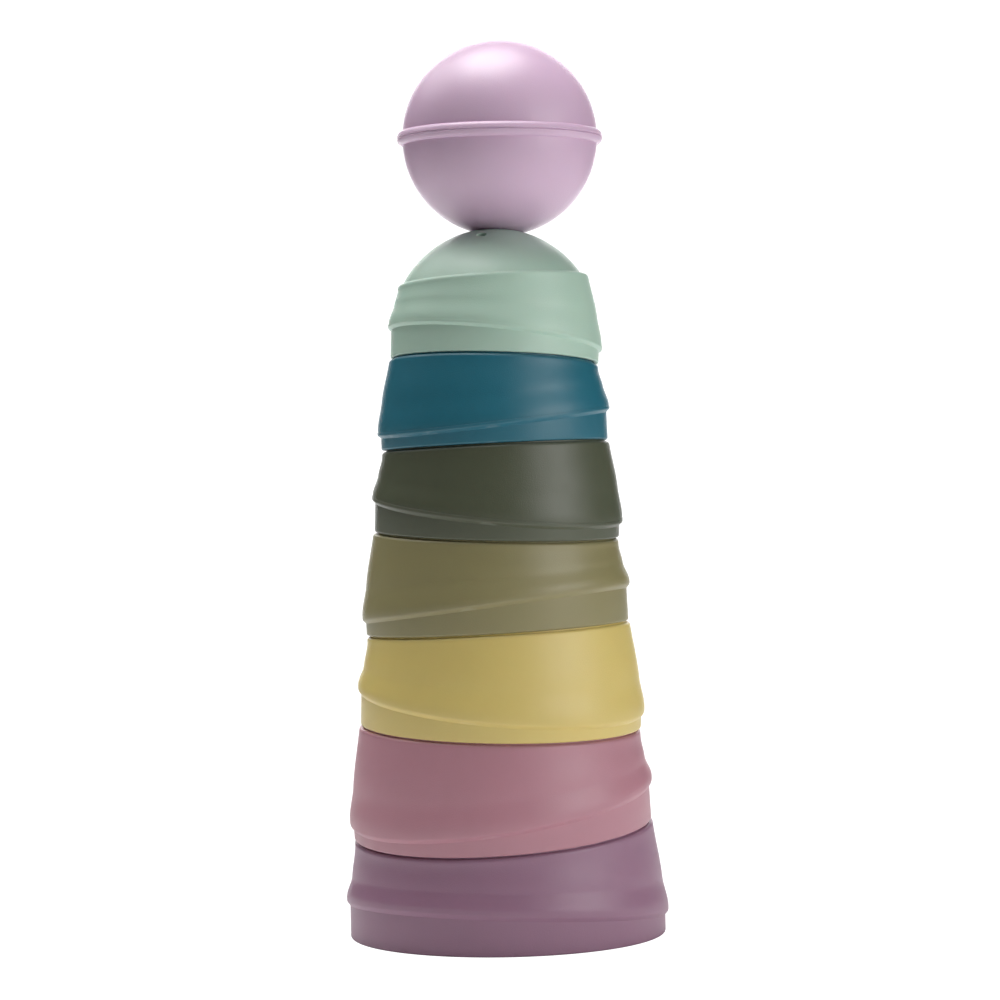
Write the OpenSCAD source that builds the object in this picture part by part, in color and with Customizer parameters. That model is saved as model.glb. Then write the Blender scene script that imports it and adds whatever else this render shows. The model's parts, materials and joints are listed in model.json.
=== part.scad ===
// Leaning tower of seven stacking cups and a ball.  Every cup stands rim down on the one below it.
// Its flat top slants against its rim and the low sides point in different directions, so the tower
// weaves as it rises.  Millimetres, +Z up, the origin on the floor in the middle of the largest rim.

/* [Cups] */
// Outside diameter of the largest rim
rim_d = 100; // [84:1:130]
// Height of the largest cup, from the middle of its rim to the middle of its top
cup_h = 33.5; // [31:0.1:45]
// How much lower each cup is than the one below it
cup_h_less = 1.5; // [0:0.1:1.8]
// Wall thickness
wall = 1.5; // [1:0.1:2]
// Room all round when a cup is nested, mouth up, in the next larger one
nest_gap = 0.25; // [0.1:0.05:0.6]
// Slant of a top against its own rim, degrees
slant = 5; // [0:0.5:7]
// Rounding of the outside edge of a rim
rim_round = 0.6; // [0.2:0.1:0.8]

/* [Ridge] */
// Height of the plain band below the ridge where it is lowest
band_h = 3.4; // [2:0.1:4]
// Slant of the ridge against the rim, the opposite way to the top, degrees
ridge_slant = 4.8; // [0:0.1:6]
// How far the ridge stands out from the band
ridge_out = 1.1; // [0.6:0.1:2]
// Height of the bevel under the ridge on the largest cup
ridge_h = 2.6; // [2:0.1:3.5]
// How much lower that bevel is on each smaller cup
ridge_h_less = 0.15; // [0:0.05:0.2]

/* [Flared wall] */
// Height of the flare, from the edge of the ridge to the waist
flare_h = 8; // [6:0.5:9]
// Slant of the waist against the rim, degrees
waist_slant = 2.1; // [0:0.1:3]
// How far the waist lies inside the band
waist_in = 0.75; // [0:0.05:1.2]

/* [Tops] */
// How far the edge of a top stands out past the rim that rests on it
top_over = 0.2; // [0:0.1:0.6]
// Rounding of the edge of a top
top_round = 1.2; // [0.8:0.1:1.4]
// Thickness of a top
top_t = 1.6; // [1:0.1:2.4]
// Height of the seat that the next rim stands on, which leaves an open seam round the cups
seat_h = 0.5; // [0.2:0.1:1]
// How far the seat lies inside the outside of that rim
seat_in = 0.8; // [0.4:0.1:0.9]
// Height, above the seat, of the round step that keeps the next cup in place
step_h = 1.6; // [1:0.1:3]
// Play between the step and the bore of the rim around it
step_play = 0.6; // [0.45:0.05:1]
// How far each cup has slid down the slant below it, within that play
slid = 0.35; // [0:0.05:0.35]
// Gap under a resting rim
rest_gap = 0.03; // [0.02:0.01:0.1]
// Diameter of the drain hole in each top
drain_d = 3; // [2:0.5:4]
// Distance of the drain hole from the middle of a flat top
drain_r = 12; // [11:0.5:15]

/* [Domed cup] */
// Height of the smallest cup's shoulder, in its middle
shoulder_h = 25.7; // [25:0.1:28]
// Height of the centre of the dome above the rim
dome_mid_h = 9.1; // [6:0.1:10]
// How deep the ball sits in the dome
dish_h = 1.8; // [1.5:0.1:3]
// Distance of the drain hole in the dome from the cup's axis
dome_drain_r = 15; // [13:0.5:18]
// Direction of the drain hole in the dome
dome_drain_turn = 251; // [0:1:359]

/* [Ball] */
// Diameter of the ball
ball_d = 61.8; // [50:0.1:70]
// Thickness of the two half shells
shell_t = 1.6; // [1:0.1:2.5]
// How far the flange stands out from the ball
flange_out = 1.7; // [1:0.1:4]
// Height of the flange, both halves together
flange_h = 4.5; // [3.2:0.1:8]
// Rounding of the edges of the flange
flange_round = 1.5; // [0.3:0.1:1.6]
// Size of the chamfers that make the groove between the halves
groove = 0.3; // [0.1:0.1:0.6]
// Height of the tongue that centres the upper half on the lower one
tongue_h = 1.2; // [0.8:0.1:2]
// Thickness of that tongue
tongue_t = 0.8; // [0.6:0.1:1.2]
// Gap between the tongue and the upper half
tongue_gap = 0.1; // [0.05:0.05:0.3]
// Gap between the ball and its dish
ball_gap = 0.2; // [0.1:0.05:0.3]
// Lean of the ball in its dish, degrees
ball_lean = 3.9; // [0:0.1:6]
// Direction in which the ball leans
ball_lean_turn = 242; // [0:1:359]

/* [Turn of each cup: direction of the low side of its top, degrees from +X] */
// Mauve cup, the largest
mauve_turn = 235; // [0:1:359]
// Rose cup
rose_turn = 21; // [0:1:359]
// Yellow cup
yellow_turn = 144; // [0:1:359]
// Olive cup
olive_turn = 337; // [0:1:359]
// Dark green cup
dark_green_turn = 143; // [0:1:359]
// Teal cup
teal_turn = 35; // [0:1:359]
// Mint cup, the smallest, with the dome
mint_turn = 199; // [0:1:359]

/* [Hidden] */

// Each cup is smaller than the one below it by its wall and ridge, so that the set also nests.
rim_less = wall + ridge_out + nest_gap;
turns = [mauve_turn, rose_turn, yellow_turn, olive_turn, dark_green_turn, teal_turn, mint_turn];
dome_cup = len(turns) - 1;
ball_r = ball_d / 2;
inner_r = ball_r - shell_t;
flange_r = ball_r + flange_out;

around_n = 48;  // facets round a lofted wall
flare_n = 4;    // facets up the flare
upper_n = 4;    // facets from the waist to the edge of the top
round_n = 3;    // facets in the rounded edge of a top
fine_n = 96;    // facets round a turned piece
tuck = 0.7;     // how far a lofted wall starts inside the band
overlap = 0.4;  // how far joined volumes run into each other
past = 1;       // how far a cutter runs past what it cuts
core_in = 0.05; // how far the lofted core stays inside the bore

// ---- Sizes of cup i, counted from the floor ----

function rim_r(i) = rim_d / 2 - i * rim_less;
function bore_r(i) = rim_r(i) - wall;
function top_z(i) = i == dome_cup ? shoulder_h : cup_h - i * cup_h_less;
function seat_r(i) = rim_r(i + 1) - seat_in;
function top_r(i) = rim_r(i + 1) + top_over;
function bevel_h(i) = ridge_h - i * ridge_h_less;
function ridge_z(i) = band_h + rim_r(i) * tan(ridge_slant);
function waist_z(i) = ridge_z(i) + bevel_h(i) + flare_h;
function step_r(i) = bore_r(i + 1) - step_play;

// Centre of the ball above the middle of the smallest rim
ball_z = dome_mid_h + rim_r(dome_cup) + ball_r - dish_h;

// ---- Points on a cup ----

function circle_at(r, t) = [r * cos(t), r * sin(t), 0];

// Height of a plane through height z on the axis, at radius r and angle t, high towards the turn
function on_slant(z, angle, turn, r, t) = z + r * cos(t - turn) * tan(angle);

function ridge_point(i, r, up, t) =
    circle_at(r, t) + [0, 0, on_slant(ridge_z(i) + up, ridge_slant, turns[i], r, t)];

function waist_point(i, r, t) =
    circle_at(r, t) + [0, 0, on_slant(waist_z(i), waist_slant, turns[i], r, t)];

// Leans vector v by an angle towards the direction turn
function leaned(v, angle, turn) =
    let (
        side = [cos(turn), sin(turn), 0],
        out = v * side,
        up = v.z
    )
    v + (cos(angle) - 1) * [out * side.x, out * side.y, up] + sin(angle) * (up * side - [0, 0, out]);

// Middle of a top: on the bisector of the rim's and the top's own axes
function top_middle(i) = circle_at(top_z(i) * tan(slant / 2), turns[i]) + [0, 0, top_z(i)];

function top_point(i, r, down, t) =
    top_middle(i) + leaned(circle_at(r, t) - [0, 0, down], slant, turns[i]);

// Smooth curve from p to q that leaves along u and arrives along v
function curve(p, q, u, v, s) =
    (2 * pow(s, 3) - 3 * pow(s, 2) + 1) * p
    + (pow(s, 3) - 2 * pow(s, 2) + s) * u
    + (3 * pow(s, 2) - 2 * pow(s, 3)) * q
    + (pow(s, 3) - pow(s, 2)) * v;

// One upright line of a cup's outside at angle t: bevel, ridge, flare, upper wall, rounded edge.
// On the low side the wall meets its top squarely, and on the high side it stays straight.
function skirt_line(i, t) =
    let (
        r = rim_r(i),
        h = bevel_h(i),
        edge_r = top_r(i) - top_round,
        ridge = ridge_point(i, r + ridge_out, h, t),
        waist = waist_point(i, r - waist_in, t),
        edge = top_point(i, top_r(i), top_round, t),
        climb = edge - waist,
        upright = [0, 0, norm(climb)],
        at_waist = 0.6 * climb + 0.4 * upright,
        at_ridge = [0, 0, waist.z - ridge.z],
        flare_end = at_waist * (waist.z - ridge.z) / norm(climb),
        low_side = (1 + cos(t - turns[i])) / 2,
        square_on = norm(climb) * leaned([0, 0, 1], slant, turns[i]),
        at_edge = climb + low_side * (square_on - climb)
    )
    concat(
        [
            ridge_point(i, r - tuck, -tuck * h / (2 * ridge_out), t),
            ridge_point(i, r + 0.75 * ridge_out, h / 2, t),
            ridge
        ],
        [for (k = [1:flare_n]) curve(ridge, waist, at_ridge, flare_end, k / flare_n)],
        [for (k = [1:upper_n]) curve(waist, edge, at_waist, at_edge, k / upper_n)],
        [
            for (k = [1:round_n])
                let (a = 90 * k / round_n)
                top_point(i, edge_r + top_round * cos(a), top_round * (1 - sin(a)), t)
        ]
    );

// The same for the hollow above the bore
function core_line(i, t) =
    [
        ridge_point(i, bore_r(i) - core_in, bevel_h(i) - overlap, t),
        ridge_point(i, bore_r(i) - core_in, bevel_h(i), t),
        waist_point(i, rim_r(i) - waist_in - wall, t),
        top_point(i, top_r(i) - wall, top_t, t)
    ];

// ---- Building blocks ----

// Closed solid through upright lines of points, one line for each angle, closed at its flat ends by
// fans round their middles
module loft(lines) {
    n = len(lines);
    m = len(lines[0]);
    low_middle = [for (line = lines) 1] * [for (line = lines) line[0]] / n;
    high_middle = [for (line = lines) 1] * [for (line = lines) line[m - 1]] / n;
    faces = [
        for (j = [0:n - 1])
            let (a = j * m, b = ((j + 1) % n) * m)
            each concat(
                [for (k = [0:m - 2]) each [[a + k, a + k + 1, b + k], [a + k + 1, b + k + 1, b + k]]],
                [[n * m, a, b], [n * m + 1, b + m - 1, a + m - 1]]
            )
    ];
    polyhedron(points = concat([for (line = lines) each line], [low_middle, high_middle]), faces = faces);
}

// Turns what is drawn upright so that it leans towards a direction
module leaning(angle, turn) {
    rotate(a = angle, v = [-sin(turn), cos(turn), 0]) children();
}

module in_top(i) {
    translate(top_middle(i)) leaning(slant, turns[i]) children();
}

// Everything below the slanted plane that lies up above the foot of the ridge
module below_ridge(i, up) {
    side = 2 * rim_d;
    translate([0, 0, ridge_z(i) + up])
        leaning(-ridge_slant, turns[i])
            translate([-side / 2, -side / 2, -side]) cube(side);
}

// Turned disc with a rounded edge, on one side or the other of its height
module rounded_disc(r, h, edge, below = false) {
    low = below ? edge : 0;
    rotate_extrude($fn = fine_n) {
        translate([0, below ? 0 : h - edge]) square([r - edge, edge]);
        translate([0, low]) square([r, h - edge]);
        intersection() {
            translate([r - edge, below ? edge : h - edge]) circle(edge, $fn = 32);
            square([r, h]);
        }
    }
}

// Plain band at the rim, up to the foot of the ridge
module band(i) {
    intersection() {
        rounded_disc(rim_r(i), 2 * ridge_z(i), rim_round, below = true);
        below_ridge(i, 0);
    }
}

module skirt(i) {
    loft([for (j = [0:around_n - 1]) skirt_line(i, turns[i] + 360 * j / around_n)]);
}

module bore(i) {
    intersection() {
        translate([0, 0, -past]) cylinder(r = bore_r(i), h = top_z(i), $fn = fine_n);
        below_ridge(i, bevel_h(i) - overlap / 2);
    }
}

module core(i) {
    loft([for (j = [0:around_n - 1]) core_line(i, turns[i] + 360 * j / around_n)]);
}

// One of the six plain cups, in its own frame
module cup(i) {
    difference() {
        union() {
            band(i);
            skirt(i);
            in_top(i) {
                translate([0, 0, -overlap]) cylinder(r = seat_r(i), h = seat_h + overlap, $fn = fine_n);
                rounded_disc(step_r(i), seat_h + step_h, rim_round);
            }
        }
        bore(i);
        core(i);
        in_top(i) {
            translate([0, 0, -top_t - overlap])
                cylinder(r = step_r(i) - wall, h = seat_h + step_h + overlap, $fn = fine_n);
            translate([drain_r, 0, -top_t - past])
                cylinder(d = drain_d, h = top_t + seat_h + step_h + 2 * past, $fn = 32);
        }
    }
}

// Half ball standing on the height of the dome's centre
module half_ball(r) {
    rotate_extrude($fn = fine_n)
        intersection() {
            circle(r, $fn = fine_n);
            square(r);
        }
}

// Part of the dome above the shoulder
module dome() {
    side = 2 * rim_d;
    intersection() {
        translate([0, 0, dome_mid_h]) half_ball(rim_r(dome_cup));
        in_top(dome_cup) translate([-side / 2, -side / 2, -overlap]) cube(side);
    }
}

// Hollow of the smallest cup: a bore with a round end, and a pad left in it under the dish
module dome_hollow() {
    r = bore_r(dome_cup);
    difference() {
        union() {
            translate([0, 0, -past]) cylinder(r = r, h = dome_mid_h + past, $fn = fine_n);
            translate([0, 0, dome_mid_h]) half_ball(r);
        }
        translate([0, 0, ball_z]) sphere(ball_r + ball_gap + wall, $fn = fine_n);
    }
}

// The smallest cup, in its own frame
module dome_cup() {
    drain_lean = asin(dome_drain_r / rim_r(dome_cup));
    difference() {
        union() {
            band(dome_cup);
            skirt(dome_cup);
            dome();
        }
        dome_hollow();
        translate([0, 0, ball_z]) sphere(ball_r + ball_gap, $fn = fine_n);
        translate([0, 0, dome_mid_h])
            leaning(drain_lean, dome_drain_turn)
                translate([0, 0, bore_r(dome_cup) - past])
                    cylinder(d = drain_d, h = wall + 2 * past, $fn = 32);
    }
}

// Outline of the lower half shell from its axis outwards, with its parting face at height 0
module half_shell_outline() {
    half_flange = flange_h / 2;
    difference() {
        union() {
            intersection() {
                circle(ball_r, $fn = fine_n);
                translate([0, -ball_r]) square(ball_r);
            }
            translate([inner_r, -half_flange + flange_round])
                square([flange_r - inner_r, half_flange - flange_round]);
            translate([inner_r, -half_flange])
                square([flange_r - inner_r - flange_round, half_flange]);
            translate([flange_r - flange_round, -half_flange + flange_round])
                circle(flange_round, $fn = 32);
        }
        circle(inner_r, $fn = fine_n);
        polygon([[flange_r - groove, 0], [flange_r + past, -groove - past], [flange_r + past, past]]);
        square([flange_r + past, past + flange_round]);
    }
}

// Outline of the tongue on the lower half
module tongue_outline() {
    out_r = inner_r - tongue_gap;
    translate([out_r - tongue_t, -tongue_h]) square([tongue_t, 2 * tongue_h]);
    translate([out_r - tongue_t, -2 * tongue_h]) square([tongue_t + tongue_gap + overlap, 2 * tongue_h]);
}

// ---- Places in the tower ----

// Draws its children in the frame of cup i: the middle of its rim, with +Z along its own axis
module at_cup(i) {
    if (i == 0) children();
    else
        at_cup(i - 1)
            in_top(i - 1)
                translate(circle_at(slid, turns[i - 1]) + [0, 0, seat_h + rest_gap]) children();
}

module at_ball() {
    at_cup(dome_cup)
        translate([0, 0, ball_z]) leaning(ball_lean, ball_lean_turn) children();
}

// ---- Sub-parts ----

module mauve_cup() {
    color("#826676") at_cup(0) cup(0);
}

module rose_cup() {
    color("#9a707a") at_cup(1) cup(1);
}

module yellow_cup() {
    color("#b5a362") at_cup(2) cup(2);
}

module olive_cup() {
    color("#746f50") at_cup(3) cup(3);
}

module dark_green_cup() {
    color("#44483c") at_cup(4) cup(4);
}

module teal_cup() {
    color("#295966") at_cup(5) cup(5);
}

module mint_dome_cup() {
    color("#9cb4a5") at_cup(dome_cup) dome_cup();
}

module ball_lower_half() {
    color("#bfa3b9")
        at_ball()
            rotate_extrude($fn = fine_n) {
                half_shell_outline();
                tongue_outline();
            }
}

module ball_upper_half() {
    color("#bfa3b9") at_ball() mirror([0, 0, 1]) rotate_extrude($fn = fine_n) half_shell_outline();
}

mauve_cup();
rose_cup();
yellow_cup();
olive_cup();
dark_green_cup();
teal_cup();
mint_dome_cup();
ball_lower_half();
ball_upper_half();
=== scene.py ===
"""Leaning tower of seven nesting cups and a ball, moulded round its packed solids.

Every cup stands rim down on the slanted top of the next larger one.  Where each one stands, how it
leans and how tall it is come from the joints and the rims of the packed solids.  The rest of its
sizes are settings.  Metres, +Z up, the origin on the floor in the middle of the largest rim.
"""

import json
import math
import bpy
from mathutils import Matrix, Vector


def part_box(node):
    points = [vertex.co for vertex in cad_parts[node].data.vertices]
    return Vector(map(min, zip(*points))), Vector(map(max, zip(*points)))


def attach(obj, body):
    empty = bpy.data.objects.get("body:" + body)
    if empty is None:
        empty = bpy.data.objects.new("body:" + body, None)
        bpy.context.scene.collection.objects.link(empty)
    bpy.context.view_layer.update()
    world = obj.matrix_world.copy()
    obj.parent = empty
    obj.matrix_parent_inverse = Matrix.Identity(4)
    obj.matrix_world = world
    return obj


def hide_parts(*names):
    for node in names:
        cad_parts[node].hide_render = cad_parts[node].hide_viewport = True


bl_info = {
    "name": "Leaning Cup Tower",
    "version": (1, 0, 0),
    "blender": (4, 5, 0),
    "location": "View3D > Sidebar > Cup Tower",
    "description": "Moulds seven nesting cups and a two-part ball round their packed solids",
    "category": "Add Mesh",
}

import bpy
import numpy as np
from bpy.props import FloatProperty, FloatVectorProperty, PointerProperty
from mathutils import Matrix, Vector

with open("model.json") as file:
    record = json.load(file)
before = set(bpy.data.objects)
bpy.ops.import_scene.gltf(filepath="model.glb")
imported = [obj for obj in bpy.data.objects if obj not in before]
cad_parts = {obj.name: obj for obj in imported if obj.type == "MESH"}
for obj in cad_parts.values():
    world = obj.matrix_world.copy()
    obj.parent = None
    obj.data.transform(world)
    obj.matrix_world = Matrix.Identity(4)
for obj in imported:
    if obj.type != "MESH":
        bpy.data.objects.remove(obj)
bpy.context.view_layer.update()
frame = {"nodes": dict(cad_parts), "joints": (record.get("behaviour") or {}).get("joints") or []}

CUPS = [
    "mauve_cup", "rose_cup", "yellow_cup", "olive_cup", "dark_green_cup", "teal_cup",
    "mint_dome_cup",
]
DOME_CUP = len(CUPS) - 1

AROUND = 192  # points in each ring
CORNER_STEPS = 5
FLARE_STEPS = 14
WALL_STEPS = 12
INSIDE_STEPS = 20
PAD_STEPS = 6
DOME_STEPS = 30
DISH_STEPS = 8
LOWER_SHELL_STEPS = 30
UPPER_SHELL_STEPS = 32
FLANGE_STEPS = 12
BALL_STEPS = 44
SMALLEST = 1e-9
MIXED_COLOUR = 2  # the output of a Mix node that carries its colour


def mm(length):
    return length / 1000


SOFT_EDGE = mm(0.3)  # rounding of an ordinary moulded edge
CREASE = mm(0.12)  # rounding where a wall rises from a flat
TONGUE_EDGE = mm(0.2)


def linear(hex_colour):
    """The linear colour of an sRGB one written as #rrggbb"""
    parts = [int(hex_colour[i : i + 2], 16) / 255 for i in (1, 3, 5)]
    return tuple(c / 12.92 if c <= 0.04045 else ((c + 0.055) / 1.055) ** 2.4 for c in parts)


def packed_points(name):
    """The points of a packed solid, one row each"""
    return np.array([v.co for v in frame["nodes"][name].data.vertices])


def packed_rim_radius():
    """Radius of the largest rim: how far its lowest points lie from the axis"""
    points = packed_points(CUPS[0])
    low = points[points[:, 2] < mm(1)]
    return float(np.hypot(low[:, 0], low[:, 1]).max())


def size(name, description, default):
    return FloatProperty(
        name=name, description=description, default=default, unit="LENGTH", precision=5
    )


def angle(name, description, default):
    return FloatProperty(
        name=name, description=description, default=math.radians(default), unit="ROTATION"
    )


def colour(name, description, default):
    return FloatVectorProperty(
        name=name, description=description, default=linear(default), subtype="COLOR", min=0, max=1
    )


def share(name, description, default):
    return FloatProperty(name=name, description=description, default=default, min=0, max=1)


# ---- Settings ----


class TowerCupSizes(bpy.types.PropertyGroup):
    """Sizes that the seven cups share"""

    rim_radius: size("Rim radius", "Radius of the largest rim", packed_rim_radius())
    radius_step: size("Radius step", "How much smaller the radius of each next rim is", mm(2.85))
    wall: size("Wall", "Thickness of a wall", mm(1.5))
    top_thickness: size("Top thickness", "Thickness of a top", mm(1.6))
    rim_round: size("Rim rounding", "Rounding of the outside edge of a rim", mm(0.6))
    band_height: size("Band height", "Height of the plain band where it is lowest", mm(3.4))
    ridge_slant: angle("Ridge slant", "Slant of the ridge against the rim", 4.8)
    ridge_out: size("Ridge", "How far the ridge stands out from the band", mm(1.05))
    bevel_height: size("Bevel height", "Height of the bevel under the largest ridge", mm(2.6))
    bevel_step: size("Bevel step", "How much lower each next bevel is", mm(0.15))
    nose_round: size("Nose rounding", "Rounding from the bevel into the ridge's nose", mm(1.5))
    sharp_nose: size("Sharp nose", "The same rounding on the small cups", mm(0.7))
    ledge: size("Ledge", "Ledge on top of the ridge of the small cups", mm(0.16))
    flare_height: size("Flare height", "Height from the ridge to the waist", mm(8))
    waist_slant: angle("Waist slant", "Slant of the waist against the rim", 2.1)
    waist_in: size("Waist", "How far the waist lies inside the band", mm(0.75))
    top_over: size("Top overhang", "How far a top stands out past the rim on it", mm(0.2))
    top_round: size("Top rounding", "Rounding of the edge of a top", mm(1.2))
    seat_height: size("Seat height", "Height of the seat under the next rim", mm(0.5))
    seat_in: size("Seat inset", "How far the seat lies inside the rim on it", mm(1.2))
    rest_gap: size("Resting gap", "Gap under a resting rim", mm(0.03))
    slid: size("Slide", "How far a cup has slid down the slant under it", mm(0.35))
    step_height: size("Step height", "Height of the round step above the seat", mm(1.6))
    step_play: size("Step play", "Play between the step and the bore around it", mm(0.6))
    drain: size("Drain hole", "Diameter of the hole in each top", mm(3))
    drain_out: size("Drain place", "Distance of the hole from the middle of a top", mm(12))


class TowerDomeSizes(bpy.types.PropertyGroup):
    """Sizes of the domed cup and the ball on it"""

    shoulder_height: size("Shoulder height", "Height of the shoulder in its middle", mm(25.7))
    shoulder_turn: angle("Shoulder turn", "Direction of the shoulder's low side", 199)
    dome_middle: size("Dome middle", "Height of the dome's centre above the rim", mm(9.1))
    drain_out: size("Drain place", "Distance of the drain hole from the cup's axis", mm(15))
    drain_turn: angle("Drain turn", "Direction of the drain hole in the dome", 251)
    ball_gap: size("Ball gap", "Gap between the ball and its dish", mm(0.2))
    shell: size("Shell", "Thickness of the two half balls", mm(1.6))
    flange_out: size("Flange", "How far the flange stands out from the ball", mm(1.7))
    flange_height: size("Flange height", "Height of the flange, both halves together", mm(4.5))
    groove: size("Groove", "Chamfers that make the groove between the halves", mm(0.3))
    tongue_height: size("Tongue height", "Height of the tongue between the halves", mm(1.2))
    tongue_thickness: size("Tongue", "Thickness of that tongue", mm(0.8))
    tongue_gap: size("Tongue gap", "Gap between the tongue and the upper half", mm(0.1))
    ball_lean: angle("Ball lean", "Lean of the ball in its dish", 3.9)
    ball_lean_turn: angle("Ball lean turn", "Direction in which the ball leans", 242)


class TowerPlastics(bpy.types.PropertyGroup):
    """Colours and finish of the moulded plastics"""

    mauve: colour("Mauve", "Plastic of the largest cup", "#9e768e")
    rose: colour("Rose", "Plastic of the second cup", "#bf8895")
    yellow: colour("Yellow", "Plastic of the third cup", "#dfc877")
    olive: colour("Olive", "Plastic of the fourth cup", "#91895f")
    dark_green: colour("Dark green", "Plastic of the fifth cup", "#515642")
    teal: colour("Teal", "Plastic of the sixth cup", "#1e6b7e")
    mint: colour("Mint", "Plastic of the domed cup", "#b6d3c1")
    ball: colour("Ball", "Plastic of the ball", "#d8b8d2")
    cup_roughness: share("Cup roughness", "Roughness of the satin finish of the cups", 0.42)
    ball_roughness: share("Ball roughness", "Roughness of the satin finish of the ball", 0.38)


class TowerStage(bpy.types.PropertyGroup):
    """Floor, lights and camera"""

    lens: FloatProperty(name="Lens", description="Focal length", default=120.96, min=1)
    camera_height: size("Camera height", "Height of the camera", mm(163.7))
    camera_distance: size("Camera distance", "Distance in front of the tower", mm(1065.3))
    camera_aside: size("Camera aside", "Distance to the right of the tower", mm(0.13))
    camera_pitch: angle("Camera pitch", "How far the camera looks down", 1.4)
    camera_roll: angle("Camera roll", "How far the camera rolls to the right", 1.17)


SETTINGS = {
    "tower_cup_sizes": TowerCupSizes,
    "tower_dome_sizes": TowerDomeSizes,
    "tower_plastics": TowerPlastics,
    "tower_stage": TowerStage,
}


# ---- Rings of points, as arrays with one row for each direction round a piece ----

DIRECTIONS = np.linspace(0, 2 * math.pi, AROUND, endpoint=False)
ROUND = np.stack([np.cos(DIRECTIONS), np.sin(DIRECTIONS), np.zeros(AROUND)], axis=1)


def circle(radius, height=0.0):
    return ROUND * radius + [0, 0, height]


def length(vectors):
    return np.maximum(np.linalg.norm(vectors, axis=1, keepdims=True), SMALLEST)


def toward(start, end):
    """Unit vectors from one ring to another"""
    return (end - start) / length(end - start)


def rounded(corner, before, after, radius):
    """Rings of the circular arc that rounds a corner between the rings before and after it"""
    back, on = toward(corner, before), toward(corner, after)
    half_open = np.arccos(np.clip(np.sum(back * on, axis=1, keepdims=True), -1, 1)) / 2
    reach = radius / np.tan(half_open)
    weight = np.sin(half_open)
    first, last = corner + back * reach, corner + on * reach
    rings = []
    for step in range(CORNER_STEPS + 1):
        s = step / CORNER_STEPS
        a, b, c = (1 - s) ** 2, 2 * s * (1 - s) * weight, s**2
        rings.append((a * first + b * corner + c * last) / (a + b + c))
    return rings


def outline(corners):
    """Rings along a line of corners, each a ring and its rounding, or None to keep it as it is"""
    rings = []
    for i, (corner, radius) in enumerate(corners):
        if radius:
            rings += rounded(corner, corners[i - 1][0], corners[i + 1][0], radius)
        else:
            rings.append(corner)
    return rings


def curve(start, end, leaving, arriving, steps):
    """Rings of the smooth curve after start, up to end, with the given end tangents"""
    rings = []
    for step in range(1, steps + 1):
        s = step / steps
        rings.append(
            (2 * s**3 - 3 * s**2 + 1) * start
            + (s**3 - 2 * s**2 + s) * leaving
            + (3 * s**2 - 2 * s**3) * end
            + (s**3 - s**2) * arriving
        )
    return rings


def arc_over(centre, start, end, steps):
    """Rings on a sphere round centre, after start and up to end"""
    radius = float(np.linalg.norm(start[0] - centre))
    a, b = (start - centre) / radius, (end - centre) / radius
    gap = np.arccos(np.clip(np.sum(a * b, axis=1, keepdims=True), -1, 1))
    rings = []
    for step in range(1, steps + 1):
        s = step / steps
        rings.append(
            centre + radius * (np.sin((1 - s) * gap) * a + np.sin(s * gap) * b) / np.sin(gap)
        )
    return rings


# ---- A cup in its own frame: the middle of its rim at the origin, its axis up ----


class Cup:
    """One cup's sizes, place and planes"""

    def __init__(self, number, place, height, tilt, turn):
        sizes = bpy.context.scene.tower_cup_sizes
        self.sizes, self.place, self.height, self.turn = sizes, place, height, turn
        self.rim = sizes.rim_radius - number * sizes.radius_step
        self.bore = self.rim - sizes.wall
        self.next_rim = self.rim - sizes.radius_step
        self.top = self.next_rim + sizes.top_over
        self.step = self.next_rim - sizes.wall - sizes.step_play
        self.bevel = sizes.bevel_height - number * sizes.bevel_step
        self.ledge = sizes.ledge if number >= 4 else 0
        self.nose_round = sizes.sharp_nose if self.ledge else sizes.nose_round
        self.ridge_height = sizes.band_height + self.rim * math.tan(sizes.ridge_slant)
        self.waist_height = self.ridge_height + self.bevel + sizes.flare_height
        self.top_turned = np.array(leaning(tilt, turn))
        aside = height * math.tan(tilt / 2)
        self.top_middle = np.array([aside * math.cos(turn), aside * math.sin(turn), height])

    def slanted(self, radius, height, slant):
        """Ring on a slanted plane that crosses the axis at a height, high towards the turn"""
        ring = circle(radius, height)
        ring[:, 2] += radius * np.cos(DIRECTIONS - self.turn) * math.tan(slant)
        return ring

    def on_ridge(self, radius, above):
        return self.slanted(radius, self.ridge_height + above, self.sizes.ridge_slant)

    def on_waist(self, radius):
        return self.slanted(radius, self.waist_height, self.sizes.waist_slant)

    def on_top(self, radius, above):
        """Ring parallel to the slanted top, above it"""
        return self.top_middle + circle(radius, above) @ self.top_turned.T


def leaning(tilt, turn):
    """Turn that leans what is upright by an angle, towards a direction"""
    return Matrix.Rotation(tilt, 3, (-math.sin(turn), math.cos(turn), 0))


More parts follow.
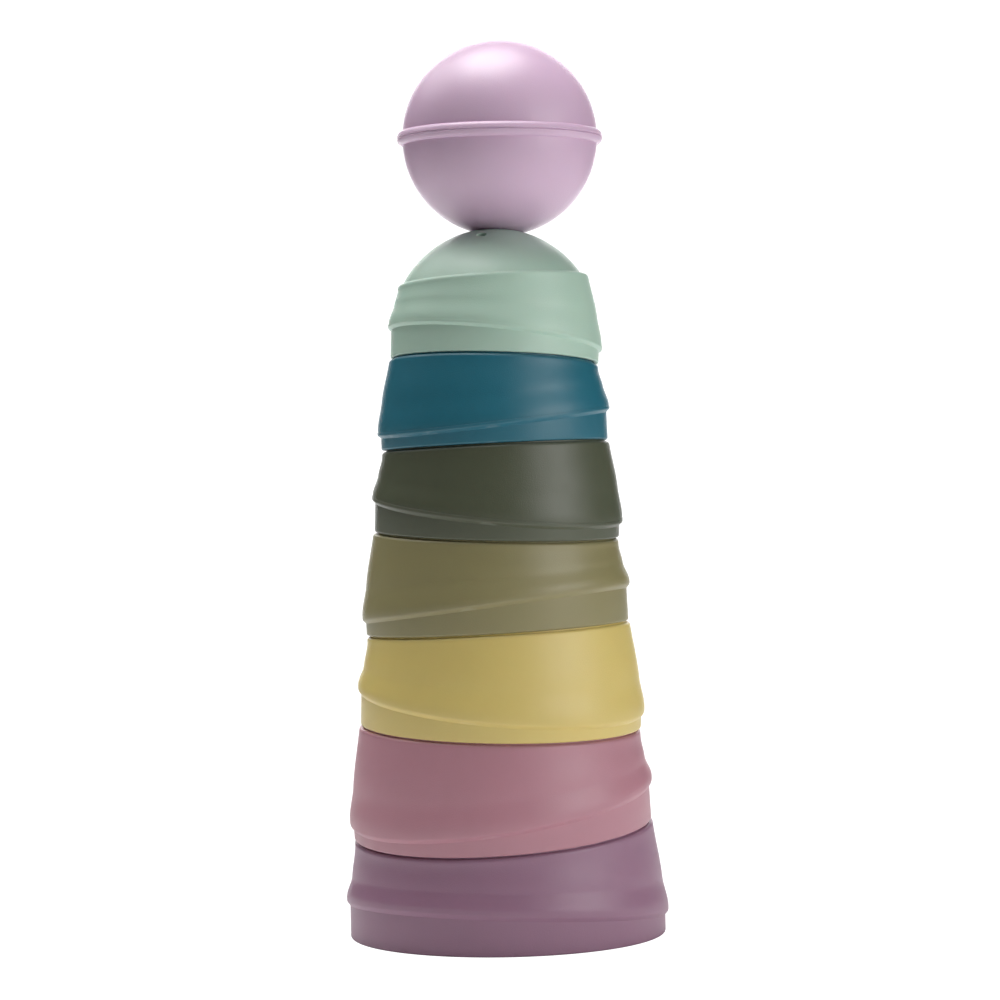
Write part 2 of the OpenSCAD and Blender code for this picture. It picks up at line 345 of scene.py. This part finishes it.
def stand_cups():
    """The seven cups, each placed by its joint's axis and the plane of its rim"""
    sizes = bpy.context.scene.tower_cup_sizes
    dome = bpy.context.scene.tower_dome_sizes
    axes = {joint["child"]: Vector(joint["axis"]).normalized() for joint in frame["joints"]}
    lift = sizes.seat_height + sizes.rest_gap
    cups, turned, middle = [], Matrix.Identity(3), Vector((0, 0, 0))
    for number, above in enumerate(CUPS[1:]):
        place = Matrix.Translation(middle) @ turned.to_4x4()
        axis = axes[above]
        own_axis = turned.transposed() @ axis
        tilt, turn = math.acos(own_axis.z), math.atan2(own_axis.y, own_axis.x)
        next_rim = float((packed_points(above) @ np.array(axis)).min())
        cup = Cup(number, place, next_rim - middle.dot(axis) - lift, tilt, turn)
        cups.append(cup)
        slid = Vector((math.cos(turn), math.sin(turn), 0)) * sizes.slid
        middle = place @ Vector(cup.top_middle) + turned @ leaning(tilt, turn) @ slid + axis * lift
        turned = turned @ leaning(tilt, turn)
    # The shoulder of the domed cup slants as much as the top that it stands on.
    place = Matrix.Translation(middle) @ turned.to_4x4()
    cups.append(Cup(DOME_CUP, place, dome.shoulder_height, tilt, dome.shoulder_turn))
    return cups


def rim_and_ridge(cup, inside):
    """Rings from a point on the bore, round the rim and up the bevel to the ridge's edge"""
    sizes = cup.sizes
    out = cup.rim + sizes.ridge_out
    foot = cup.on_ridge(cup.rim, 0)
    corners = [
        (inside, None),
        (circle(cup.bore), SOFT_EDGE),
        (circle(cup.rim), sizes.rim_round),
        (foot, CREASE),
        (cup.on_ridge(out, cup.bevel / 2), cup.nose_round),
        (cup.on_ridge(out, cup.bevel), None),
    ]
    if cup.ledge:
        corners[-1] = (corners[-1][0], mm(0.08))
        corners.append((cup.on_ridge(out - cup.ledge, cup.bevel), mm(0.04)))
        corners.append((cup.on_ridge(out - cup.ledge, cup.bevel + mm(0.15)), None))
    return outline(corners)[1:]


def flared_wall(cup, edge_of_ridge):
    """Rings up the flare, past the waist and round the edge of the top"""
    sizes = cup.sizes
    waist = cup.on_waist(cup.rim - sizes.waist_in)
    below_edge = cup.on_top(cup.top, -sizes.top_round)
    rise = waist[:, 2:] - edge_of_ridge[:, 2:]
    climb = below_edge - waist
    upright = length(climb) * [0, 0, 1]
    at_waist = 0.6 * climb + 0.4 * upright
    flare_end = at_waist * rise / length(climb)
    low_side = (1 + np.cos(DIRECTIONS - cup.turn))[:, None] / 2
    square_on = length(climb) * (cup.top_turned @ [0, 0, 1])
    at_edge = climb + low_side * (square_on - climb)
    rings = curve(edge_of_ridge, waist, rise * [0, 0, 1], flare_end, FLARE_STEPS)
    rings += curve(waist, below_edge, at_waist, at_edge, WALL_STEPS)[:-1]
    inward = cup.on_top(cup.top - 2 * sizes.top_round, 0)
    return rings + rounded(cup.on_top(cup.top, 0), below_edge, inward, sizes.top_round)


def plain_cup_rings(cup):
    """Rings of a plain cup, from the middle of its ceiling, round the rim, to that of its top"""
    sizes = cup.sizes
    step_up = sizes.seat_height + sizes.step_height
    ceiling, recess = -sizes.top_thickness, cup.step - sizes.wall
    seat = cup.next_rim - sizes.seat_in
    bore_end = cup.on_ridge(cup.bore, cup.bevel)
    inside = outline(
        [
            (cup.on_top(0, step_up + ceiling), None),
            (cup.on_top(recess, step_up + ceiling), mm(0.5)),
            (cup.on_top(recess, ceiling), SOFT_EDGE),
            (cup.on_top(cup.top - sizes.wall, ceiling), mm(0.8)),
            (cup.on_waist(cup.rim - sizes.waist_in - sizes.wall), mm(8)),
            (bore_end, None),
        ]
    )
    skirt = rim_and_ridge(cup, bore_end)
    wall = flared_wall(cup, skirt[-1])
    tread = outline(
        [
            (wall[-1], None),
            (cup.on_top(seat, 0), CREASE),
            (cup.on_top(seat, sizes.seat_height), CREASE),
            (cup.on_top(cup.step, sizes.seat_height), SOFT_EDGE),
            (cup.on_top(cup.step, step_up), sizes.rim_round),
            (cup.on_top(0, step_up), None),
        ]
    )[1:]
    return inside + skirt + wall + tread


def dome_sizes(cup):
    """Centres of the dome and of the ball above it, and the ball's radius"""
    dome = bpy.context.scene.tower_dome_sizes
    low, high = ball_box()
    radius = (high.z - low.z) / 2
    middle = cup.place.inverted() @ ((low + high) / 2)
    return np.array([0, 0, dome.dome_middle]), np.array([0, 0, middle.z]), radius


def ball_box():
    """Lowest and highest corner of the two halves of the ball together"""
    lower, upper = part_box("ball_lower_half"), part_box("ball_upper_half")
    return (
        Vector(map(min, lower[0], upper[0])),
        Vector(map(max, lower[1], upper[1])),
    )


def crossing(low_middle, low_radius, high_middle, high_radius):
    """Ring in which two spheres on the axis cross"""
    apart = high_middle[2] - low_middle[2]
    up = (apart**2 + low_radius**2 - high_radius**2) / (2 * apart)
    return circle(math.sqrt(low_radius**2 - up**2), low_middle[2] + up)


def domed_cup_rings(cup):
    """Rings of the domed cup, from under its dish, round the rim, to the middle of the dish"""
    sizes, dome = cup.sizes, bpy.context.scene.tower_dome_sizes
    dome_middle, ball_middle, ball = dome_sizes(cup)
    dish = ball + dome.ball_gap
    pad = dish + sizes.wall
    pad_edge = crossing(dome_middle, cup.bore, ball_middle, pad)
    bore_end = circle(cup.bore, dome_middle[2])
    inside = [circle(0, ball_middle[2] - pad)]
    inside += arc_over(ball_middle, circle(SMALLEST, ball_middle[2] - pad), pad_edge, PAD_STEPS)
    inside += arc_over(dome_middle, pad_edge, bore_end, INSIDE_STEPS)
    skirt = rim_and_ridge(cup, bore_end)
    wall = flared_wall(cup, skirt[-1])

    normal = cup.top_turned @ [0, 0, 1]
    above = float((cup.top_middle - dome_middle) @ normal)
    foot_radius = math.sqrt(cup.rim**2 - above**2)
    foot = dome_middle + circle(foot_radius, above) @ cup.top_turned.T
    lip = crossing(dome_middle, cup.rim, ball_middle, dish)
    up_dome = arc_over(dome_middle, foot, lip, DOME_STEPS)
    into_dish = arc_over(ball_middle, lip, circle(SMALLEST, ball_middle[2] - dish), DISH_STEPS)
    crease = rounded(foot, wall[-1], up_dome[0], mm(0.25))
    edge = rounded(lip, up_dome[-2], into_dish[0], SOFT_EDGE)
    into_dish[-1] = circle(0, ball_middle[2] - dish)
    return inside + skirt + wall + crease + up_dome[:-1] + edge + into_dish


# ---- The ball, standing on the middle of its flange ----


def turned_line(corners):
    """Rings of a turned piece from (radius, height, rounding) corners"""
    return outline([(circle(r, z), rounding) for r, z, rounding in corners])


def half_ball_rings(radius, tongue):
    """Rings of the upper half ball from the inner to the outer pole, or with a tongue, of the lower
    half seen upside down"""
    ball = bpy.context.scene.tower_dome_sizes
    inner = radius - ball.shell
    flange, half = radius + ball.flange_out, ball.flange_height / 2
    pole = circle(SMALLEST, inner)
    if tongue:
        out = inner - ball.tongue_gap
        slim = out - ball.tongue_thickness
        root = math.sqrt(inner**2 - (2 * ball.tongue_height) ** 2)
        rings = arc_over(
            np.zeros(3), pole, circle(root, 2 * ball.tongue_height), LOWER_SHELL_STEPS
        )
        rings += turned_line(
            [
                (root, 2 * ball.tongue_height, None),
                (slim, 2 * ball.tongue_height, TONGUE_EDGE),
                (slim, -ball.tongue_height, TONGUE_EDGE),
                (out, -ball.tongue_height, TONGUE_EDGE),
                (out, 0, mm(0.1)),
                (flange, 0, None),
            ]
        )[1:-1]
    else:
        rings = arc_over(np.zeros(3), pole, circle(inner, 0), UPPER_SHELL_STEPS)
    near = math.sqrt(radius**2 - half**2)
    rings += turned_line(
        [
            (inner + ball.tongue_gap, 0, None),
            (flange - ball.groove, 0, mm(0.06)),
            (flange, ball.groove, mm(0.1)),
            (flange, ball.groove + mm(0.15), None),
        ]
    )
    # The outside of the flange is half an ellipse, from just past the groove to the ball.
    rings += [
        circle(near + (flange - near) * math.cos(turn), half * math.sin(turn))
        for turn in np.linspace(0.25, 0.5 * math.pi, FLANGE_STEPS)
    ]
    outer = arc_over(np.zeros(3), rings[-1], circle(SMALLEST, radius), BALL_STEPS)
    outer[-1] = circle(0, radius)
    return [circle(0, inner)] + rings + outer


# ---- Meshes ----


def mesh_of_rings(name, rings):
    """Closed object through rings of points; a ring of no width is one point"""
    points, rows = [], []
    for ring in rings:
        single = np.ptp(ring, axis=0).max() < mm(0.0001)
        kept = ring[:1] if single else ring
        rows.append([len(points) + i for i in range(len(kept))])
        points += kept.tolist()
    faces = []
    for low, high in zip(rows, rows[1:]):
        for i in range(AROUND):
            j = (i + 1) % AROUND
            if len(low) == 1:
                faces.append((low[0], high[j], high[i]))
            elif len(high) == 1:
                faces.append((low[i], low[j], high[0]))
            else:
                faces.append((low[i], low[j], high[j], high[i]))
    mesh = bpy.data.meshes.new(name)
    mesh.from_pydata(points, [], faces)
    mesh.validate()
    return bpy.data.objects.new(name, mesh)


def cut_drain(piece, radius, middle, turned, thickness):
    """Cuts a hole with rounded edges through a top; middle is the middle of its outer end"""
    lip, reach = SOFT_EDGE, mm(2)
    corners = [(0, reach, None), (radius + lip + reach, reach, None)]
    corners += [(radius + lip, 0, None), (radius, 0, lip), (radius, -thickness, lip)]
    corners += [(radius + lip, -thickness, None)]
    corners += [(radius + lip + reach, -thickness - reach, None), (0, -thickness - reach, None)]
    cutter = mesh_of_rings("drain_cutter", turned_line(corners)[::-1])
    cutter.data.transform(Matrix.Translation(Vector(middle)) @ Matrix(turned).to_4x4())
    bpy.context.collection.objects.link(cutter)
    hole = piece.modifiers.new("drain hole", "BOOLEAN")
    hole.object, hole.operation, hole.solver = cutter, "DIFFERENCE", "EXACT"
    bpy.context.view_layer.objects.active = piece
    bpy.ops.object.modifier_apply(modifier=hole.name)
    bpy.data.objects.remove(cutter)


def finish_piece(piece, node, body, material):
    """Shades a piece smooth, gives it its plastic and lets it stand for its packed solid"""
    mesh = piece.data
    mesh.shade_smooth()
    mesh.set_sharp_from_angle(angle=math.radians(50))
    mesh.materials.clear()
    mesh.materials.append(material)
    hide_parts(node)
    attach(piece, body)


# ---- Plastics ----


def node(tree, kind, inputs, **settings):
    """Adds a node with its settings; inputs go by identifier, each a value or an output to link"""
    new = tree.nodes.new(kind)
    for name, value in settings.items():
        setattr(new, name, value)
    sockets = {socket.identifier: socket for socket in new.inputs}
    for name, value in inputs.items():
        if isinstance(value, bpy.types.NodeSocket):
            tree.links.new(value, sockets[name])
        else:
            sockets[name].default_value = value
    return new


def noise(tree, place, grain, detail):
    """Noise whose blobs are about as large as the grain"""
    inputs = {"Vector": place, "Scale": 1 / grain, "Detail": detail}
    return node(tree, "ShaderNodeTexNoise", inputs).outputs["Fac"]


def moulded_polypropylene(name, pigment, roughness):
    """Polypropylene, injection moulded with a satin finish: a soft sheen with no sharp reflection,
    broken by the fine grain of the mould, a faint mottling from the flow, and edges rubbed paler"""
    material = bpy.data.materials.new(name)
    material.use_nodes = True
    tree = material.node_tree
    tree.nodes.clear()
    place = node(tree, "ShaderNodeTexCoord", {}).outputs["Object"]
    # The flow of the melt shows as clouds of about 25 mm, a few percent lighter or darker.
    flow = noise(tree, place, mm(25), 3)
    # Handling leaves faint dull patches of about 6 mm.
    handling = noise(tree, place, mm(6), 4)
    # The grain of an eroded mould is about 0.05 mm, too fine to show, so it is drawn at 0.3 mm.
    grain = noise(tree, place, mm(0.3), 1)
    dark = tuple(0.96 * c for c in pigment) + (1,)
    light = tuple(min(1, 1.04 * c) for c in pigment) + (1,)
    rubbed_pale = tuple(0.2 + 0.8 * c for c in pigment) + (1,)
    mottled = node(
        tree,
        "ShaderNodeMix",
        {"Factor_Float": flow, "A_Color": dark, "B_Color": light},
        data_type="RGBA",
    )
    # Convex edges, which rub against the nested cups, are a little paler.
    worn = node(
        tree,
        "ShaderNodeMapRange",
        {
            "Value": node(tree, "ShaderNodeNewGeometry", {}).outputs["Pointiness"],
            "From Min": 0.51,
            "From Max": 0.6,
            "To Max": 0.25,
        },
    )
    rubbed = node(
        tree,
        "ShaderNodeMix",
        {
            "Factor_Float": worn.outputs["Result"],
            "A_Color": mottled.outputs[MIXED_COLOUR],
            "B_Color": rubbed_pale,
        },
        data_type="RGBA",
    )
    sheen = node(
        tree,
        "ShaderNodeMapRange",
        {"Value": handling, "To Min": roughness - 0.05, "To Max": roughness + 0.05},
    )
    # The grain throws back a little more light than the smooth plastic would, which is the specular
    # level, and a little light enters and comes out again nearby.
    bump = node(tree, "ShaderNodeBump", {"Height": grain, "Strength": 0.6, "Distance": mm(0.08)})
    plastic = node(
        tree,
        "ShaderNodeBsdfPrincipled",
        {
            "Base Color": rubbed.outputs[MIXED_COLOUR],
            "Roughness": sheen.outputs["Result"],
            "IOR": 1.49,
            "Specular IOR Level": 0.71,
            "Normal": bump.outputs["Normal"],
            "Subsurface Weight": 0.06,
            "Subsurface Scale": mm(1),
        },
    )
    node(tree, "ShaderNodeOutputMaterial", {"Surface": plastic.outputs["BSDF"]})
    return material


# ---- Operators ----


def mould_cup(cup, name, rings, drain_middle, drain_turned, thickness, plastic):
    piece = mesh_of_rings("moulded_" + name, rings)
    bpy.context.collection.objects.link(piece)
    cut_drain(piece, cup.sizes.drain / 2, drain_middle, drain_turned, thickness)
    piece.data.transform(cup.place)
    finish_piece(piece, name, name, plastic)


class TOWER_OT_plain_cups(bpy.types.Operator):
    """Moulds the six plain cups"""

    bl_idname = "tower.plain_cups"
    bl_label = "Mould plain cups"

    def execute(self, context):
        plastics = context.scene.tower_plastics
        for name, cup in zip(CUPS[:DOME_CUP], stand_cups()):
            short = name.replace("_cup", "")
            plastic = moulded_polypropylene(
                short + " moulded polypropylene", getattr(plastics, short), plastics.cup_roughness
            )
            up = cup.sizes.seat_height + cup.sizes.step_height
            middle = cup.top_middle + cup.top_turned @ [cup.sizes.drain_out, 0, up]
            mould_cup(
                cup, name, plain_cup_rings(cup), middle, cup.top_turned,
                cup.sizes.top_thickness, plastic,
            )
        return {"FINISHED"}


class TOWER_OT_domed_cup(bpy.types.Operator):
    """Moulds the smallest cup, with the dome"""

    bl_idname = "tower.domed_cup"
    bl_label = "Mould domed cup"

    def execute(self, context):
        cup = stand_cups()[DOME_CUP]
        dome = context.scene.tower_dome_sizes
        tilt = math.asin(dome.drain_out / cup.rim)
        turned = leaning(tilt, dome.drain_turn)
        middle = Vector((0, 0, dome.dome_middle)) + turned @ Vector((0, 0, cup.rim))
        plastics = context.scene.tower_plastics
        plastic = moulded_polypropylene(
            "mint moulded polypropylene", plastics.mint, plastics.cup_roughness
        )
        mould_cup(
            cup, CUPS[DOME_CUP], domed_cup_rings(cup), middle, turned, cup.sizes.wall, plastic
        )
        return {"FINISHED"}


class TOWER_OT_ball(bpy.types.Operator):
    """Moulds the two halves of the ball"""

    bl_idname = "tower.ball"
    bl_label = "Mould ball"

    def execute(self, context):
        ball = context.scene.tower_dome_sizes
        low, high = ball_box()
        cup = stand_cups()[DOME_CUP]
        turned = cup.place.to_3x3() @ leaning(ball.ball_lean, ball.ball_lean_turn)
        place = Matrix.Translation((low + high) / 2) @ turned.to_4x4()
        radius = (high.z - low.z) / 2
        plastics = context.scene.tower_plastics
        plastic = moulded_polypropylene(
            "ball moulded polypropylene", plastics.ball, plastics.ball_roughness
        )
        upside_down = Matrix.Rotation(math.pi, 4, "X")
        for name, tongue, stood in (
            ("ball_lower_half", True, place @ upside_down),
            ("ball_upper_half", False, place),
        ):
            piece = mesh_of_rings("moulded_" + name, half_ball_rings(radius, tongue))
            bpy.context.collection.objects.link(piece)
            piece.data.transform(stood)
            finish_piece(piece, name, "ball", plastic)
        return {"FINISHED"}


class TOWER_OT_stage(bpy.types.Operator):
    """Sets the floor, the lights and the camera"""

    bl_idname = "tower.stage"
    bl_label = "Set stage"

    def execute(self, context):
        scene, stage = context.scene, context.scene.tower_stage
        set_camera(scene, stage)
        set_floor()
        set_lights()
        scene.view_settings.view_transform = "Standard"
        scene.view_settings.look = "None"
        return {"FINISHED"}


def set_camera(scene, stage):
    lens = bpy.data.cameras.new("camera")
    lens.lens, lens.sensor_width, lens.clip_end = stage.lens, 36, 20
    camera = bpy.data.objects.new("camera", lens)
    scene.collection.objects.link(camera)
    place = Vector((stage.camera_aside, -stage.camera_distance, stage.camera_height))
    camera.matrix_world = (
        Matrix.Translation(place)
        @ Matrix.Rotation(math.pi / 2 - stage.camera_pitch, 4, "X")
        @ Matrix.Rotation(-stage.camera_roll, 4, "Z")
    )
    scene.camera = camera


def white_to_camera(tree, shader, glow):
    """Shader that the camera sees as pure white, by a glowing node"""
    white = node(tree, glow, {"Color": (1, 1, 1, 1), "Strength": 1.2})
    return node(
        tree,
        "ShaderNodeMixShader",
        {
            "Fac": node(tree, "ShaderNodeLightPath", {}).outputs["Is Camera Ray"],
            "Shader": shader,
            "Shader_001": white.outputs[0],
        },
    ).outputs["Shader"]


def set_floor():
    """A wide floor of white paper, lit until it loses its shadows"""
    material = bpy.data.materials.new("white paper floor")
    material.use_nodes = True
    tree = material.node_tree
    tree.nodes.clear()
    paper = node(
        tree, "ShaderNodeBsdfPrincipled", {"Base Color": (0.9, 0.9, 0.9, 1), "Roughness": 0.9}
    )
    seen = white_to_camera(tree, paper.outputs["BSDF"], "ShaderNodeEmission")
    node(tree, "ShaderNodeOutputMaterial", {"Surface": seen})
    bpy.ops.mesh.primitive_circle_add(vertices=96, radius=6, fill_type="NGON")
    floor = bpy.context.object
    floor.name = "floor"
    floor.data.materials.append(material)


def softbox(name, place, aim, width, height, radiance):
    """A soft rectangular light of an even radiance, which the camera doesn't see"""
    light = bpy.data.lights.new(name, "AREA")
    light.shape, light.size, light.size_y = "RECTANGLE", width, height
    light.energy = math.pi * width * height * radiance
    box = bpy.data.objects.new(name, light)
    bpy.context.collection.objects.link(box)
    box.location = place
    box.rotation_euler = (Vector(aim) - Vector(place)).to_track_quat("-Z", "Y").to_euler()
    box.visible_camera = False


def set_lights():
    """Softboxes overhead, high on the left and to the right, a screen behind, dim elsewhere"""
    middle = (0, 0, 0.15)
    softbox("overhead softbox", (-0.12, 0.05, 1.25), middle, 0.7, 0.7, 5.7)
    softbox("overhead back softbox", (-0.06, 0.2, 1.23), middle, 0.8, 0.7, 2.6)
    softbox("high left softbox", (-0.55, 0.39, 1.02), middle, 0.7, 0.7, 1.9)
    softbox("right softbox", (0.95, -0.55, 0.42), middle, 0.9, 0.5, 3.5)
    softbox("front fill", (0.6, -0.5, 0.9), middle, 0.9, 0.9, 0.3)
    softbox("screen behind", (0, 1.2, 0.45), (0, 0, 0.45), 0.9, 0.9, 3)

    world = bpy.data.worlds.new("studio")
    world.use_nodes = True
    tree = world.node_tree
    tree.nodes.clear()
    dim = node(tree, "ShaderNodeBackground", {"Color": (1, 1, 1, 1), "Strength": 0.03})
    seen = white_to_camera(tree, dim.outputs["Background"], "ShaderNodeBackground")
    node(tree, "ShaderNodeOutputWorld", {"Surface": seen})
    bpy.context.scene.world = world


class TOWER_PT_panel(bpy.types.Panel):
    """Lists the pieces of the tower and its stage"""

    bl_idname = "TOWER_PT_panel"
    bl_label = "Cup Tower"
    bl_space_type = "VIEW_3D"
    bl_region_type = "UI"
    bl_category = "Cup Tower"

    def draw(self, context):
        for operator in OPERATORS:
            self.layout.operator(operator.bl_idname)
        for name, group in SETTINGS.items():
            box = self.layout.box()
            box.label(text=group.__doc__)
            for prop in group.__annotations__:
                box.prop(getattr(context.scene, name), prop)


OPERATORS = [TOWER_OT_plain_cups, TOWER_OT_domed_cup, TOWER_OT_ball, TOWER_OT_stage]
CLASSES = [*SETTINGS.values(), *OPERATORS, TOWER_PT_panel]


def register():
    for cls in CLASSES:
        bpy.utils.register_class(cls)
    for name, group in SETTINGS.items():
        setattr(bpy.types.Scene, name, PointerProperty(type=group))


def unregister():
    for name in SETTINGS:
        delattr(bpy.types.Scene, name)
    for cls in reversed(CLASSES):
        bpy.utils.unregister_class(cls)


def main():
    register()
    bpy.ops.tower.plain_cups()
    bpy.ops.tower.domed_cup()
    bpy.ops.tower.ball()
    bpy.ops.tower.stage()


if __name__ == "__main__":
    main()
